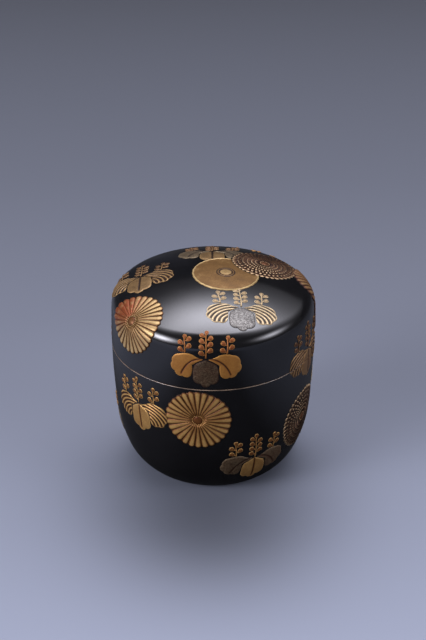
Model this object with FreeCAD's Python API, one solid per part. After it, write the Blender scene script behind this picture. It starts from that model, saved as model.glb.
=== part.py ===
import FreeCAD, Part
import math
import os

V = FreeCAD.Vector

# Turned form over the lacquer, in mm; heights are measured from the table.
MAX_DIAMETER = 74.0
OVERALL_HEIGHT = 76.0
SEAM_HEIGHT = 49.0
WIDEST_HEIGHT = 52.3
SIDE_RADIUS = 282.0
DOME_RADIUS = 87.0
SHOULDER_RADIUS = 6.25
LOWER_START_HEIGHT = 23.6
LOWER_RADIUS = 55.0
BOTTOM_START_HEIGHT = 9.93
FOOT_DIAMETER = 48.4

# Walls of the wooden cores, with their lacquer.
LACQUER = 0.4
BODY_WALL = 3.7
FLOOR_THICKNESS = 5.5
FLOOR_CORNER_RADIUS = 14.0
LID_TOP_THICKNESS = 3.2
LID_CORNER_RADIUS = 5.0
FOOT_RING_WIDTH = 3.2
FOOT_RECESS = 0.8

# The fit of the lid on the raised lip of the body.
LIP_HEIGHT = 6.0
LIP_THICKNESS = 1.65
LID_CLEARANCE = 0.2
LIP_ROUNDING = 0.5
RIM_ROUNDING = 0.25

# Raised ornament: how far each layer stands above the lacquer.
RELIEF = 0.26
TIER_RELIEF = 0.36
BOSS_RELIEF = 0.46
RESERVE_LINE = 0.25
SMALLEST_PIECE = 0.05

# Chrysanthemum rosettes.
ROSETTE_RADIUS = 12.2
PETAL_COUNT = 28
PETAL_TIP_RISE = 0.45
BOSS_RATIO = 0.19
UPPER_TIER_RATIO = 0.68
RING_RATIO = 0.26

# Paulownia sprigs, measured from the point where the three leaves meet.
LEAF_WIDTH = 9.0
LEAF_LENGTH = 11.2
SPRIG_HALF_WIDTH = 12.2
SIDE_LEAF_DROP = 7.6
STEM_WIDTH = 0.55
MAIN_SPRAY_LENGTH = 9.0
SIDE_SPRAY_LENGTH = 5.2
SIDE_SPRAY_OFFSET = 7.4
SIDE_SPRAY_LEAN = 4.0
MAIN_BUD_COUNT = 7
SIDE_BUD_COUNT = 4
BUD_RADIUS = 1.0
BUD_OFFSET = 1.2

# Walking along the surface from a motif's anchor.
WALK_STEPS = 20


class Arc:
    """One arc of the outer profile; angles are those of its normal, from straight up."""

    def __init__(self, centre, radius, start, end):
        self.centre = centre
        self.radius = radius
        self.start = start
        self.end = end

    def length(self):
        return self.radius * (self.end - self.start)

    def at_angle(self, angle, depth=0.0):
        reach = self.radius - depth
        return (self.centre[0] + reach * math.sin(angle), self.centre[1] + reach * math.cos(angle))

    def at_height(self, height, depth=0.0):
        reach = self.radius - depth
        rise = height - self.centre[1]
        return (self.centre[0] + math.sqrt(reach * reach - rise * rise), height)


def normal_angle(centre, point):
    return math.atan2(point[0] - centre[0], point[1] - centre[1])


def circles_meet(first, first_radius, second, second_radius):
    """The outer upper crossing of two circles."""
    across = second[0] - first[0]
    up = second[1] - first[1]
    gap = math.hypot(across, up)
    along = (first_radius ** 2 - second_radius ** 2 + gap ** 2) / (2 * gap)
    half = math.sqrt(first_radius ** 2 - along ** 2)
    middle = (first[0] + along * across / gap, first[1] + along * up / gap)
    one = (middle[0] - half * up / gap, middle[1] + half * across / gap)
    other = (middle[0] + half * up / gap, middle[1] - half * across / gap)
    return max(one, other, key=sum)


def turned_form():
    """Dome, shoulder, side, lower side and bottom curve, each tangent to the next."""
    dome_centre = (0.0, OVERALL_HEIGHT - DOME_RADIUS)
    side_centre = (MAX_DIAMETER / 2 - SIDE_RADIUS, WIDEST_HEIGHT)
    shoulder_centre = circles_meet(dome_centre, DOME_RADIUS - SHOULDER_RADIUS,
                                   side_centre, SIDE_RADIUS - SHOULDER_RADIUS)
    dome_end = normal_angle(dome_centre, shoulder_centre)
    shoulder_end = normal_angle(side_centre, shoulder_centre)
    side_end = math.acos((LOWER_START_HEIGHT - WIDEST_HEIGHT) / SIDE_RADIUS)
    side = Arc(side_centre, SIDE_RADIUS, shoulder_end, side_end)
    lower_centre = side.at_angle(side_end, LOWER_RADIUS)
    lower_end = math.acos((BOTTOM_START_HEIGHT - lower_centre[1]) / LOWER_RADIUS)
    lower = Arc(lower_centre, LOWER_RADIUS, side_end, lower_end)
    return [Arc(dome_centre, DOME_RADIUS, 0.0, dome_end),
            Arc(shoulder_centre, SHOULDER_RADIUS, dome_end, shoulder_end),
            side, lower, bottom_curve(lower)]


def bottom_curve(lower):
    """The arc that leaves the lower side smoothly and ends at the edge of the foot."""
    start = lower.at_angle(lower.end)
    normal = (math.sin(lower.end), math.cos(lower.end))
    to_start = (start[0] - FOOT_DIAMETER / 2, start[1])
    facing = to_start[0] * normal[0] + to_start[1] * normal[1]
    radius = (to_start[0] ** 2 + to_start[1] ** 2) / (2 * facing)
    centre = (start[0] - radius * normal[0], start[1] - radius * normal[1])
    return Arc(centre, radius, lower.end, normal_angle(centre, (FOOT_DIAMETER / 2, 0.0)))


FORM = turned_form()
DOME, SHOULDER, SIDE, LOWER, BOTTOM = FORM
LIP_RADIUS = SIDE.at_height(SEAM_HEIGHT, BODY_WALL)[0] + LIP_THICKNESS
LID_BORE = LIP_RADIUS + LID_CLEARANCE


class Section:
    """A half section in radius and height that is revolved about the centre line."""

    def __init__(self, start):
        self.start = start
        self.at = start
        self.edges = []

    def line(self, end):
        if math.dist(self.at, end) > 1e-7:
            self.edges.append(Part.makeLine(V(self.at[0], 0, self.at[1]), V(end[0], 0, end[1])))
        self.at = end
        return self

    def arc(self, centre, end):
        first = math.atan2(self.at[1] - centre[1], self.at[0] - centre[0])
        last = math.atan2(end[1] - centre[1], end[0] - centre[0])
        turn = (last - first + math.pi) % (2 * math.pi) - math.pi
        reach = math.dist(self.at, centre)
        middle = V(centre[0] + reach * math.cos(first + turn / 2), 0,
                   centre[1] + reach * math.sin(first + turn / 2))
        bow = Part.Arc(V(self.at[0], 0, self.at[1]), middle, V(end[0], 0, end[1]))
        self.edges.append(bow.toShape())
        self.at = end
        return self

    def lid_down(self, depth, height):
        self.arc(DOME.centre, DOME.at_angle(DOME.end, depth))
        self.arc(SHOULDER.centre, SHOULDER.at_angle(SHOULDER.end, depth))
        return self.arc(SIDE.centre, SIDE.at_height(height, depth))

    def lid_up(self, depth):
        self.arc(SIDE.centre, SIDE.at_angle(SIDE.start, depth))
        self.arc(SHOULDER.centre, SHOULDER.at_angle(SHOULDER.start, depth))
        return self.arc(DOME.centre, (0.0, OVERALL_HEIGHT - depth))

    def body_down(self, depth, height):
        self.arc(SIDE.centre, SIDE.at_angle(SIDE.end, depth))
        self.arc(LOWER.centre, LOWER.at_angle(LOWER.end, depth))
        return self.arc(BOTTOM.centre, BOTTOM.at_height(height, depth))

    def body_up(self, depth, height):
        self.arc(BOTTOM.centre, BOTTOM.at_angle(BOTTOM.start, depth))
        self.arc(LOWER.centre, LOWER.at_angle(LOWER.start, depth))
        return self.arc(SIDE.centre, SIDE.at_height(height, depth))

    def revolve(self):
        self.line(self.start)
        face = Part.Face(Part.Wire(self.edges))
        return face.revolve(V(0, 0, 0), V(0, 0, 1), 360)


def lid_hollow(section, grow):
    """From the rim of the lid up its bore, round the corner and over the ceiling."""
    ceiling = DOME_RADIUS - LID_TOP_THICKNESS
    corner_r = LID_BORE - LID_CORNER_RADIUS
    inner = ceiling - LID_CORNER_RADIUS
    corner = (corner_r, DOME.centre[1] + math.sqrt(inner * inner - corner_r * corner_r))
    lean = normal_angle(DOME.centre, corner)
    reach = LID_CORNER_RADIUS + grow
    section.line((LID_BORE + grow, corner[1]))
    section.arc(corner, (corner[0] + reach * math.sin(lean), corner[1] + reach * math.cos(lean)))
    return section.arc(DOME.centre, (0.0, DOME.centre[1] + ceiling + grow))


def body_hollow(section, grow):
    """From the top of the lip down the inner wall and over the floor to the centre."""
    wall = BODY_WALL - grow
    inner = LOWER.radius - BODY_WALL - FLOOR_CORNER_RADIUS
    corner_z = FLOOR_THICKNESS + FLOOR_CORNER_RADIUS
    corner = (LOWER.centre[0] + math.sqrt(inner ** 2 - (corner_z - LOWER.centre[1]) ** 2), corner_z)
    lean = normal_angle(LOWER.centre, corner)
    section.arc(SIDE.centre, SIDE.at_angle(SIDE.end, wall))
    section.arc(LOWER.centre, LOWER.at_angle(lean, wall))
    section.arc(corner, (corner[0], FLOOR_THICKNESS - grow))
    return section.line((0.0, FLOOR_THICKNESS - grow))


def lid_core():
    rim = SEAM_HEIGHT + LACQUER
    section = Section((0.0, OVERALL_HEIGHT - LACQUER)).lid_down(LACQUER, rim)
    section.line((LID_BORE + LACQUER, rim))
    return lid_hollow(section, LACQUER).revolve()


def lid_outer_lacquer():
    """The outer coat ends in a softly rounded edge at the seam."""
    section = Section((0.0, OVERALL_HEIGHT)).lid_down(0.0, SEAM_HEIGHT + RIM_ROUNDING)
    edge = section.at[0] - RIM_ROUNDING
    section.arc((edge, SEAM_HEIGHT + RIM_ROUNDING), (edge, SEAM_HEIGHT))
    section.line(SIDE.at_height(SEAM_HEIGHT, LACQUER))
    return section.lid_up(LACQUER).revolve()


def lid_lining():
    """The inner coat runs over the ceiling, down the bore and out under the rim."""
    section = Section((LID_BORE, SEAM_HEIGHT))
    lid_hollow(section, 0.0)
    back = Section(SIDE.at_height(SEAM_HEIGHT, LACQUER))
    back.arc(SIDE.centre, SIDE.at_height(SEAM_HEIGHT + LACQUER, LACQUER))
    back.line((LID_BORE + LACQUER, SEAM_HEIGHT + LACQUER))
    lid_hollow(back, LACQUER)
    return joined(section, back)


def joined(first, second):
    """Revolve the strip between two runs that both end on the centre line."""
    first.edges.append(Part.makeLine(V(first.at[0], 0, first.at[1]), V(second.at[0], 0, second.at[1])))
    first.edges.append(Part.makeLine(V(second.start[0], 0, second.start[1]),
                                     V(first.start[0], 0, first.start[1])))
    wire = Part.Wire(Part.__sortEdges__(first.edges + second.edges))
    return Part.Face(wire).revolve(V(0, 0, 0), V(0, 0, 1), 360)


def foot_line(section, lift):
    """The underside: a flat ring that stands on the table and a shallow recess."""
    ring = FOOT_DIAMETER / 2 - FOOT_RING_WIDTH
    section.line((ring + lift, lift))
    section.line((ring - FOOT_RECESS + lift, FOOT_RECESS + lift))
    return section.line((0.0, FOOT_RECESS + lift))


def body_core():
    lip_top = SEAM_HEIGHT + LIP_HEIGHT - LACQUER
    ledge = SEAM_HEIGHT - LACQUER
    section = Section(SIDE.at_height(ledge, LACQUER)).body_down(LACQUER, LACQUER)
    foot_line(section, LACQUER)
    back = Section(SIDE.at_height(ledge, LACQUER))
    back.line((LIP_RADIUS - LACQUER, ledge))
    back.line((LIP_RADIUS - LACQUER, lip_top))
    inner = SIDE.at_height(SEAM_HEIGHT, BODY_WALL - LACQUER)
    back.line((inner[0], lip_top))
    back.line(inner)
    body_hollow(back, LACQUER)
    return between(section, back)


def between(first, second):
    """Revolve the area between two runs that start at one point and end on the centre line."""
    first.edges.append(Part.makeLine(V(first.at[0], 0, first.at[1]), V(second.at[0], 0, second.at[1])))
    wire = Part.Wire(Part.__sortEdges__(first.edges + second.edges))
    return Part.Face(wire).revolve(V(0, 0, 0), V(0, 0, 1), 360)


def body_outer_lacquer():
    section = Section(SIDE.at_height(SEAM_HEIGHT, LACQUER))
    top = SIDE.at_height(SEAM_HEIGHT - RIM_ROUNDING)
    edge = top[0] - RIM_ROUNDING
    section.line((edge, SEAM_HEIGHT))
    section.arc((edge, SEAM_HEIGHT - RIM_ROUNDING), top)
    section.body_down(0.0, LACQUER)
    section.line(BOTTOM.at_height(LACQUER, LACQUER))
    return section.body_up(LACQUER, SEAM_HEIGHT).revolve()


def body_lining():
    """The inner coat covers the ledge, the lip, the wall and the floor."""
    lip_top = SEAM_HEIGHT + LIP_HEIGHT
    mouth = SIDE.at_height(SEAM_HEIGHT, BODY_WALL)
    face = Section(SIDE.at_height(SEAM_HEIGHT, LACQUER))
    face.line((LIP_RADIUS, SEAM_HEIGHT))
    face.line((LIP_RADIUS, lip_top - LIP_ROUNDING))
    face.arc((LIP_RADIUS - LIP_ROUNDING, lip_top - LIP_ROUNDING), (LIP_RADIUS - LIP_ROUNDING, lip_top))
    face.line((mouth[0] + LIP_ROUNDING, lip_top))
    face.arc((mouth[0] + LIP_ROUNDING, lip_top - LIP_ROUNDING), (mouth[0], lip_top - LIP_ROUNDING))
    face.line(mouth)
    body_hollow(face, 0.0)
    back = Section(SIDE.at_height(SEAM_HEIGHT - LACQUER, LACQUER))
    back.line((LIP_RADIUS - LACQUER, SEAM_HEIGHT - LACQUER))
    back.line((LIP_RADIUS - LACQUER, lip_top - LACQUER))
    inner = SIDE.at_height(SEAM_HEIGHT, BODY_WALL - LACQUER)
    back.line((inner[0], lip_top - LACQUER))
    back.line(inner)
    body_hollow(back, LACQUER)
    return joined(face, back)


def base_lacquer():
    """The coat under the foot, which the caddy stands on."""
    face = Section(BOTTOM.at_height(LACQUER))
    face.arc(BOTTOM.centre, (FOOT_DIAMETER / 2, 0.0))
    foot_line(face, 0.0)
    back = Section(BOTTOM.at_height(LACQUER))
    back.line(BOTTOM.at_height(LACQUER, LACQUER))
    foot_line(back, LACQUER)
    return between(face, back)


def lid_band(height):
    """A thin skin over the whole lid, from which raised ornament is cut."""
    rim = SEAM_HEIGHT + RIM_ROUNDING
    section = Section((0.0, OVERALL_HEIGHT + height)).lid_down(-height, rim)
    section.line(SIDE.at_height(rim))
    return section.lid_up(0.0).revolve()


def body_band(height):
    """A thin skin over the side of the body, down to the edge of the base coat."""
    rim = SEAM_HEIGHT - RIM_ROUNDING
    section = Section(SIDE.at_height(rim, -height)).body_down(-height, LACQUER)
    section.line(BOTTOM.at_height(LACQUER))
    return section.body_up(0.0, rim).revolve()


BAND = {("lid", h): lid_band(h) for h in (RELIEF, TIER_RELIEF, BOSS_RELIEF)}
BAND.update({("body", h): body_band(h) for h in (RELIEF, TIER_RELIEF, BOSS_RELIEF)})


def meridian(distance):
    """The point of the profile at a distance along it from the top, and its normal angle."""
    for arc in FORM:
        if distance <= arc.length() or arc is BOTTOM:
            angle = arc.start + distance / arc.radius
            return arc.at_angle(angle), angle
        distance -= arc.length()


def seam_distance():
    angle = math.acos((SEAM_HEIGHT - WIDEST_HEIGHT) / SIDE_RADIUS)
    return DOME.length() + SHOULDER.length() + SIDE_RADIUS * (angle - SIDE.start)


def nearest(point):
    """The nearest point of the outer surface and the normal there."""
    radius = math.hypot(point.x, point.y)
    out = V(point.x / radius, point.y / radius, 0) if radius > 1e-9 else V(0, -1, 0)
    for arc in FORM:
        angle = math.atan2(radius - arc.centre[0], point.z - arc.centre[1])
        if angle <= arc.end or arc is BOTTOM:
            spot = arc.at_angle(angle)
            normal = out * math.sin(angle) + V(0, 0, math.cos(angle))
            return out * spot[0] + V(0, 0, spot[1]), normal


class Anchor:
    """A place on the surface with a right and an up direction for one motif.

    The azimuth is counted from the front towards the right; twist turns the motif
    anticlockwise.  Outlines are walked out over the surface from here, so that they
    keep their size where the form turns.
    """

    def __init__(self, azimuth, from_apex=None, above_seam=None, twist=0.0, reach=ROSETTE_RADIUS):
        along = from_apex if from_apex is not None else seam_distance() - above_seam
        spot, angle = meridian(along)
        turn = math.radians(azimuth)
        out = V(math.sin(turn), -math.cos(turn), 0)
        self.origin = out * spot[0] + V(0, 0, spot[1])
        self.normal = out * math.sin(angle) + V(0, 0, math.cos(angle))
        right = V(math.cos(turn), math.sin(turn), 0)
        up = self.normal.cross(right)
        lean = math.radians(twist)
        self.right = right * math.cos(lean) + up * math.sin(lean)
        self.up = up * math.cos(lean) - right * math.sin(lean)
        self.reach = reach
        self.face_plane()

    def walk(self, u, v):
        """The surface point reached by going straight on for the length of (u, v)."""
        far = math.hypot(u, v)
        if far < 1e-9:
            return self.origin, self.normal
        spot = self.origin
        normal = self.normal
        heading = (self.right * u + self.up * v) * (1 / far)
        for _ in range(WALK_STEPS):
            spot, normal = nearest(spot + heading * (far / WALK_STEPS))
            heading = heading - normal * heading.dot(normal)
            heading.normalize()
        return spot, normal

    def face_plane(self):
        """A flat plane that faces the whole motif, on which its outlines are drawn."""
        facing = V(self.normal)
        for u, v in ((self.reach, 0), (-self.reach, 0), (0, self.reach), (0, -self.reach)):
            facing = facing + self.walk(u, v)[1]
        facing.normalize()
        across = self.right - facing * self.right.dot(facing)
        across.normalize()
        self.facing = facing
        self.across = across
        self.rise = facing.cross(across)

    def drawn(self, u, v):
        """The surface point of (u, v), dropped on to the drawing plane."""
        spot = self.walk(u, v)[0] - self.origin
        return self.origin + self.across * spot.dot(self.across) + self.rise * spot.dot(self.rise)

    def prism(self, face):
        """A drawn face as a column through the surface."""
        column = face.copy()
        column.translate(self.facing * (-1.2 * self.reach))
        return column.extrude(self.facing * (1.6 * self.reach))


def bowed(anchor, first, last, bow):
    """An arc between two outline points; bow is its rise over half the chord, to the right."""
    across = last[0] - first[0]
    up = last[1] - first[1]
    middle = ((first[0] + last[0] + bow * up) / 2, (first[1] + last[1] - bow * across) / 2)
    ends = [anchor.drawn(*p) for p in (first, middle, last)]
    return Part.Arc(*ends).toShape()


def outline(anchor, corners):
    """A closed face from (u, v, bow) corners, counted anticlockwise."""
    edges = []
    for i, (u, v, bow) in enumerate(corners):
        following = corners[(i + 1) % len(corners)]
        edges.append(bowed(anchor, (u, v), following[:2], bow))
    return Part.Face(Part.Wire(edges))


def disc(anchor, radius, centre=(0.0, 0.0)):
    """A round face made of four quarter arcs."""
    quarter_bow = math.sqrt(2) - 1
    corners = []
    for i in range(4):
        angle = i * math.pi / 2
        corners.append((centre[0] + radius * math.cos(angle),
                        centre[1] + radius * math.sin(angle), quarter_bow))
    return outline(anchor, corners)


def scalloped(anchor, radius):
    """A round face with one shallow bow for the tip of each petal."""
    corners = []
    for i in range(PETAL_COUNT):
        angle = 2 * math.pi * i / PETAL_COUNT
        notch = radius - PETAL_TIP_RISE
        corners.append((notch * math.cos(angle), notch * math.sin(angle), PETAL_TIP_RISE))
    return outline(anchor, corners)


def centre_leaf():
    half = LEAF_WIDTH / 2
    long = LEAF_LENGTH
    left = [(-0.86 * half, -0.23 * long, 0.15), (-half, -0.65 * long, 0.55)]
    tip = [(-0.38 * half, -0.92 * long, 0.75), (0.38 * half, -0.92 * long, 0.55)]
    right = [(half, -0.65 * long, 0.15), (0.86 * half, -0.23 * long, 0.06)]
    return [(0.0, -0.4, 0.06)] + left + tip + right


def side_leaf():
    """The right-hand leaf; its lower edge has three lobes."""
    wide = SPRIG_HALF_WIDTH
    drop = SIDE_LEAF_DROP
    inner = LEAF_WIDTH / 2 + RESERVE_LINE
    stalk = [(0.9, -0.3, -0.04), (inner + 0.1, -0.36 * drop, 0.1)]
    lobes = [(inner + 0.4, -0.88 * drop, 0.5), (0.68 * wide, -drop, 0.5), (0.91 * wide, -0.78 * drop, 0.5)]
    outer = [(wide, -0.32 * drop, 0.45), (0.77 * wide, 0.15 * drop, 0.2), (0.38 * wide, 0.17 * drop, -0.1)]
    return stalk + lobes + outer


def mirrored(corners):
    flipped = []
    for i in range(len(corners) - 1, -1, -1):
        flipped.append((-corners[i][0], corners[i][1], corners[i - 1][2]))
    return flipped


def spray(anchor, base, lean, length, buds):
    """A flower stem with buds at alternate sides and one at the tip, as one face."""
    tilt = math.radians(lean)
    along = (math.sin(tilt), math.cos(tilt))
    side = (math.cos(tilt), -math.sin(tilt))

    def spot(far, off):
        return (base[0] + along[0] * far + side[0] * off, base[1] + along[1] * far + side[1] * off)

    half = STEM_WIDTH / 2
    ends = [spot(0, -half), spot(0, half), spot(length, half), spot(length, -half)]
    face = outline(anchor, [(u, v, 0.02) for u, v in ends])
    lowest = 0.2 * length
    spacing = (0.93 * length - lowest) / (buds - 1)
    rounds = [disc(anchor, BUD_RADIUS, spot(length + 0.4 * BUD_RADIUS, 0.0))]
    for i in range(buds):
        off = BUD_OFFSET if i % 2 else -BUD_OFFSET
        rounds.append(disc(anchor, BUD_RADIUS, spot(lowest + i * spacing, off)))
    columns = [anchor.prism(face)] + [anchor.prism(r) for r in rounds]
    return columns[0].fuse(columns[1:])


def sprays(anchor):
    side_base = 0.23 * SIDE_LEAF_DROP + RESERVE_LINE
    plumes = [spray(anchor, (0.0, RESERVE_LINE), 0.0, MAIN_SPRAY_LENGTH, MAIN_BUD_COUNT)]
    for hand in (-1, 1):
        base = (hand * SIDE_SPRAY_OFFSET, side_base)
        plumes.append(spray(anchor, base, hand * SIDE_SPRAY_LEAN, SIDE_SPRAY_LENGTH, SIDE_BUD_COUNT))
    return plumes


def raised(half, height, column):
    return BAND[(half, height)].common(column)


NODES = {}
GUARDS = []


def keep(name, shapes):
    """Cut a motif back behind the rosettes that lie over it and keep what is left."""
    solids = []
    for shape in shapes:
        for guard in GUARDS:
            if shape.Solids and guard.BoundBox.intersect(shape.BoundBox):
                shape = shape.cut(guard)
        solids += [s for s in shape.Solids if s.Volume > SMALLEST_PIECE]
    if solids:
        NODES[name] = Part.makeCompound(solids)


def rosette(place, halves, tiers=1, ring=False, **where):
    """A chrysanthemum: scalloped disc, a second tier or ring where it has one, and a boss."""
    anchor = Anchor(**where)
    columns = [(RELIEF, anchor.prism(scalloped(anchor, ROSETTE_RADIUS)))]
    if tiers > 1:
        columns.append((TIER_RELIEF, anchor.prism(scalloped(anchor, UPPER_TIER_RATIO * ROSETTE_RADIUS))))
    if ring:
        columns.append((TIER_RELIEF, anchor.prism(disc(anchor, RING_RATIO * ROSETTE_RADIUS))))
    columns.append((BOSS_RELIEF, anchor.prism(disc(anchor, BOSS_RATIO * ROSETTE_RADIUS))))
    for half in halves:
        layers = [raised(half, height, column) for height, column in columns]
        layers = [layer for layer in layers if layer.Solids]
        whole = layers[0].fuse(layers[1:]) if len(layers) > 1 else layers[0]
        keep("%s_%s_chrysanthemum" % (half, place), [whole])
    GUARDS.append(anchor.prism(disc(anchor, ROSETTE_RADIUS + RESERVE_LINE)))


def sprig(place, halves, silver=(), **where):
    """A paulownia: three leaves, some of them silver, and three flower sprays in gold."""
    anchor = Anchor(**where)
    leaves = {"centre": centre_leaf(), "right": side_leaf(), "left": mirrored(side_leaf())}
    columns = {"gold": sprays(anchor), "silver": []}
    for name, corners in leaves.items():
        metal = "silver" if name in silver else "gold"
        columns[metal].append(anchor.prism(outline(anchor, corners)))
    for half in halves:
        for metal, pieces in columns.items():
            shapes = [raised(half, RELIEF, piece) for piece in pieces]
            keep("%s_%s_paulownia_%s" % (half, place, metal), shapes)


def ornament():
    """The scatter of rosettes and sprigs; a rosette named earlier lies in front."""
    lid, body, both = ("lid",), ("body",), ("lid", "body")
    rosette("top_layered", lid, tiers=2, azimuth=122.0, from_apex=22.5)
    rosette("top_disc", lid, ring=True, azimuth=92.0, from_apex=4.6)
    rosette("left_shoulder", lid, azimuth=-54.0, above_seam=19.0)
    rosette("right_shoulder", lid, azimuth=103.0, above_seam=12.75)
    rosette("rear_seam", both, tiers=2, azimuth=-155.0, above_seam=3.0)
    rosette("left_seam", both, azimuth=-111.0, above_seam=0.5)
    rosette("front", body, azimuth=-8.4, above_seam=-12.9)
    rosette("right", body, tiers=2, azimuth=64.5, above_seam=-24.2)
    rosette("rear", body, azimuth=150.0, above_seam=-25.0)
    rosette("rear_left", body, tiers=2, azimuth=-138.0, above_seam=-27.0)
    sprig("top_back", lid, silver=("left", "right"), azimuth=180.8, from_apex=21.7, twist=-180.8)
    sprig("top_left", lid, azimuth=-99.5, from_apex=27.0, twist=97.0)
    sprig("top_front", lid, silver=("centre",), azimuth=26.2, from_apex=22.75, twist=-22.6)
    sprig("front", lid, silver=("centre",), azimuth=-3.9, above_seam=12.65)
    sprig("right_seam", both, azimuth=66.9, above_seam=4.4)
    sprig("rear", lid, silver=("centre",), azimuth=152.0, above_seam=12.4)
    sprig("left", body, azimuth=-46.4, above_seam=-12.4, twist=4.0)
    sprig("low_front", body, silver=("left", "right"), azimuth=25.8, above_seam=-31.8)
    sprig("right_rear", body, azimuth=108.0, above_seam=-14.0, twist=-6.0)
    sprig("rear", body, silver=("centre",), azimuth=-175.0, above_seam=-15.5, twist=5.0)
    sprig("low_left", body, silver=("left", "right"), azimuth=-97.0, above_seam=-29.5)


def build():
    NODES["body_core"] = body_core()
    NODES["body_outer_lacquer"] = body_outer_lacquer()
    NODES["body_lining"] = body_lining()
    NODES["base_lacquer"] = base_lacquer()
    NODES["lid_core"] = lid_core()
    NODES["lid_outer_lacquer"] = lid_outer_lacquer()
    NODES["lid_lining"] = lid_lining()
    ornament()
    os.makedirs("parts", exist_ok=True)
    for name, shape in NODES.items():
        shape.exportStep("parts/%s.step" % name)


build()
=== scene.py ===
import math
from collections import namedtuple

import bmesh
import bpy
import numpy as np
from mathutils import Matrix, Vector


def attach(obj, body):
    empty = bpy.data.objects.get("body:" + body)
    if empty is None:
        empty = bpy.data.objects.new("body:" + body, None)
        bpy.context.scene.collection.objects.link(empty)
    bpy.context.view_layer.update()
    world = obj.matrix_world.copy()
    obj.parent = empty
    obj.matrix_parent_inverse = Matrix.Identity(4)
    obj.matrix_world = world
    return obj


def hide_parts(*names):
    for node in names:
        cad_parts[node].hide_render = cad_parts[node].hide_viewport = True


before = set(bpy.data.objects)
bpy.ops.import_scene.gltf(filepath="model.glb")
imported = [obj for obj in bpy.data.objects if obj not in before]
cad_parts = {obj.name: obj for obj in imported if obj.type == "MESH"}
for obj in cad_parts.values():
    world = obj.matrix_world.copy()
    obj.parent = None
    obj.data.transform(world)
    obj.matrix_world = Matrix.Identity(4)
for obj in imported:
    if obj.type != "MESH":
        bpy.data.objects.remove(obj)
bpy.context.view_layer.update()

MM = 0.001
TINY = 1e-9

# Turned form over the lacquer, in mm.
MAX_RADIUS = 37.0
OVERALL_HEIGHT = 76.0
SEAM_HEIGHT = 49.0
WIDEST_HEIGHT = 52.3
SIDE_RADIUS = 282.0
DOME_RADIUS = 87.0
SHOULDER_RADIUS = 6.25
LOWER_START_HEIGHT = 23.6
LOWER_RADIUS = 55.0
BOTTOM_START_HEIGHT = 9.93
FOOT_RADIUS = 24.2
LACQUER = 0.4
BODY_WALL = 3.7
FLOOR_THICKNESS = 5.5
FLOOR_CORNER_RADIUS = 14.0
LID_TOP_THICKNESS = 3.2
LID_CORNER_RADIUS = 5.0
FOOT_RING_WIDTH = 3.2
FOOT_RECESS = 0.8
LIP_HEIGHT = 6.0
LIP_THICKNESS = 1.65
LID_CLEARANCE = 0.2
LIP_ROUNDING = 0.5
LIP_ROOT = 0.15
RIM_ROUNDING = 0.25
BORE_ROUNDING = 0.2
BORE_START = 0.6
EDGE_GAP = 0.05
APEX_GAP = 1e-4

# Mesh counts; the five follow the arcs from the apex down.
LATHE_SEGMENTS = 320
SEEN_COUNTS = (60, 40, 80, 40, 40)
HIDDEN_COUNTS = (14, 12, 20, 10, 12)

# Raised ornament, in mm. What a rosette covers is sunk into the lacquer, from just outside its edge.
ROOT_DEPTH = 0.06
SUNK_DEPTH = 0.7 * ROOT_DEPTH
SINK_START = 0.35
SINK_RUN = 0.3
SUNK_MARGIN = 0.05
RESERVE_LINE = 0.25
WALK_STEPS = 20

# Rosettes: ratios are of the radius, heights in mm.
ROSETTE_RADIUS = 12.2
PETAL_COUNT = 28
PLATE_RATIO = 0.965
STRAIGHT_ROWS = 0.6
# Share of a petal's light taken away towards its root, as painted shade.
ROOT_FADE = 0.45
BEAD_COUNT = 18
SCALE_COUNT = 38
SCALE_ROWS = (1.0, 0.85, 0.70, 0.56, 0.43, 0.31)
SCALE_LENGTH = 0.24
SCALE_WEAR = 0.03
DISC_HEIGHT = 0.22
DISC_GROOVES = (0.26, 0.2)
DISC_RING = 0.23
DISC_HEART = 0.16
DISC_RIM = 0.965

# Sprigs, in mm from the point where the three leaves meet.
LEAF_WIDTH = 9.0
LEAF_LENGTH = 11.2
SPRIG_HALF_WIDTH = 12.2
SIDE_LEAF_DROP = 7.6
SIDE_VEINS = [((0.5, 0.0), (6.2, 0.3), (8.7, -6.4))]
CENTRE_VEINS = [((0, -0.6), (0.15, -5.0), (0, -10.0))]
SIDE_HEART = (6.9, -2.6)
CENTRE_HEART = (0.0, -5.6)
VEIN_WIDTH = 0.3
VEIN_DEPTH = 0.14
PAD_HEIGHT = 0.17
PAD_CROWN = 0.15
LINE_SPACING = 1.25
LINE_CENTRE = (2.5, -7.5)
LINE_STRETCH = 1.3
LINE_FLOOR = 0.05
LINE_HEIGHT = 0.25
MAIN_SPRAY_LENGTH = 9.0
SIDE_SPRAY_LENGTH = 5.2
SIDE_SPRAY_OFFSET = 7.4
SIDE_SPRAY_LEAN = 4.0
MAIN_BUD_COUNT = 7
SIDE_BUD_COUNT = 4
STEM_SWAY = 0.12
STALK_RISE = 0.75
BUD_SIZE = 1.12
BUD_OFFSET = 1.45
BUD_TURN = 0.95
BUD_HEIGHT = 0.32

# Lacquer, wear, and the pale brown band along the seam.
LACQUER_IOR = 1.6
WORN_RED = (0.25, 0.06, 0.016)
SEAM_BROWN = (0.33, 0.235, 0.16)
BROWN_BELOW_SEAM = 0.22
BROWN_ABOVE_SEAM = 0.1

# Studio light, in degrees. Bearings of the overhead and fill boxes are from the back, the others from
# the front.
SoftBox = namedtuple("SoftBox", "bearing rise half_width half_height strength")
OVERHEAD_BOX = SoftBox(bearing=3.0, rise=65.0, half_width=60.0, half_height=12.5, strength=9.3)
FILL_BOX = SoftBox(bearing=52.0, rise=47.0, half_width=30.0, half_height=15.0, strength=1.4)
LEFT_BOX = SoftBox(bearing=-61.0, rise=24.0, half_width=15.0, half_height=10.0, strength=22.0)
RIGHT_BOX = SoftBox(bearing=70.0, rise=25.0, half_width=16.0, half_height=9.0, strength=8.0)
ROOM_LIGHT = 0.1
LAMP_COLOUR = (0.95, 0.94, 1.05)
BACKDROP = (0.16, 0.177, 0.246)
BLACK = (0.0, 0.0, 0.0)
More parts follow.
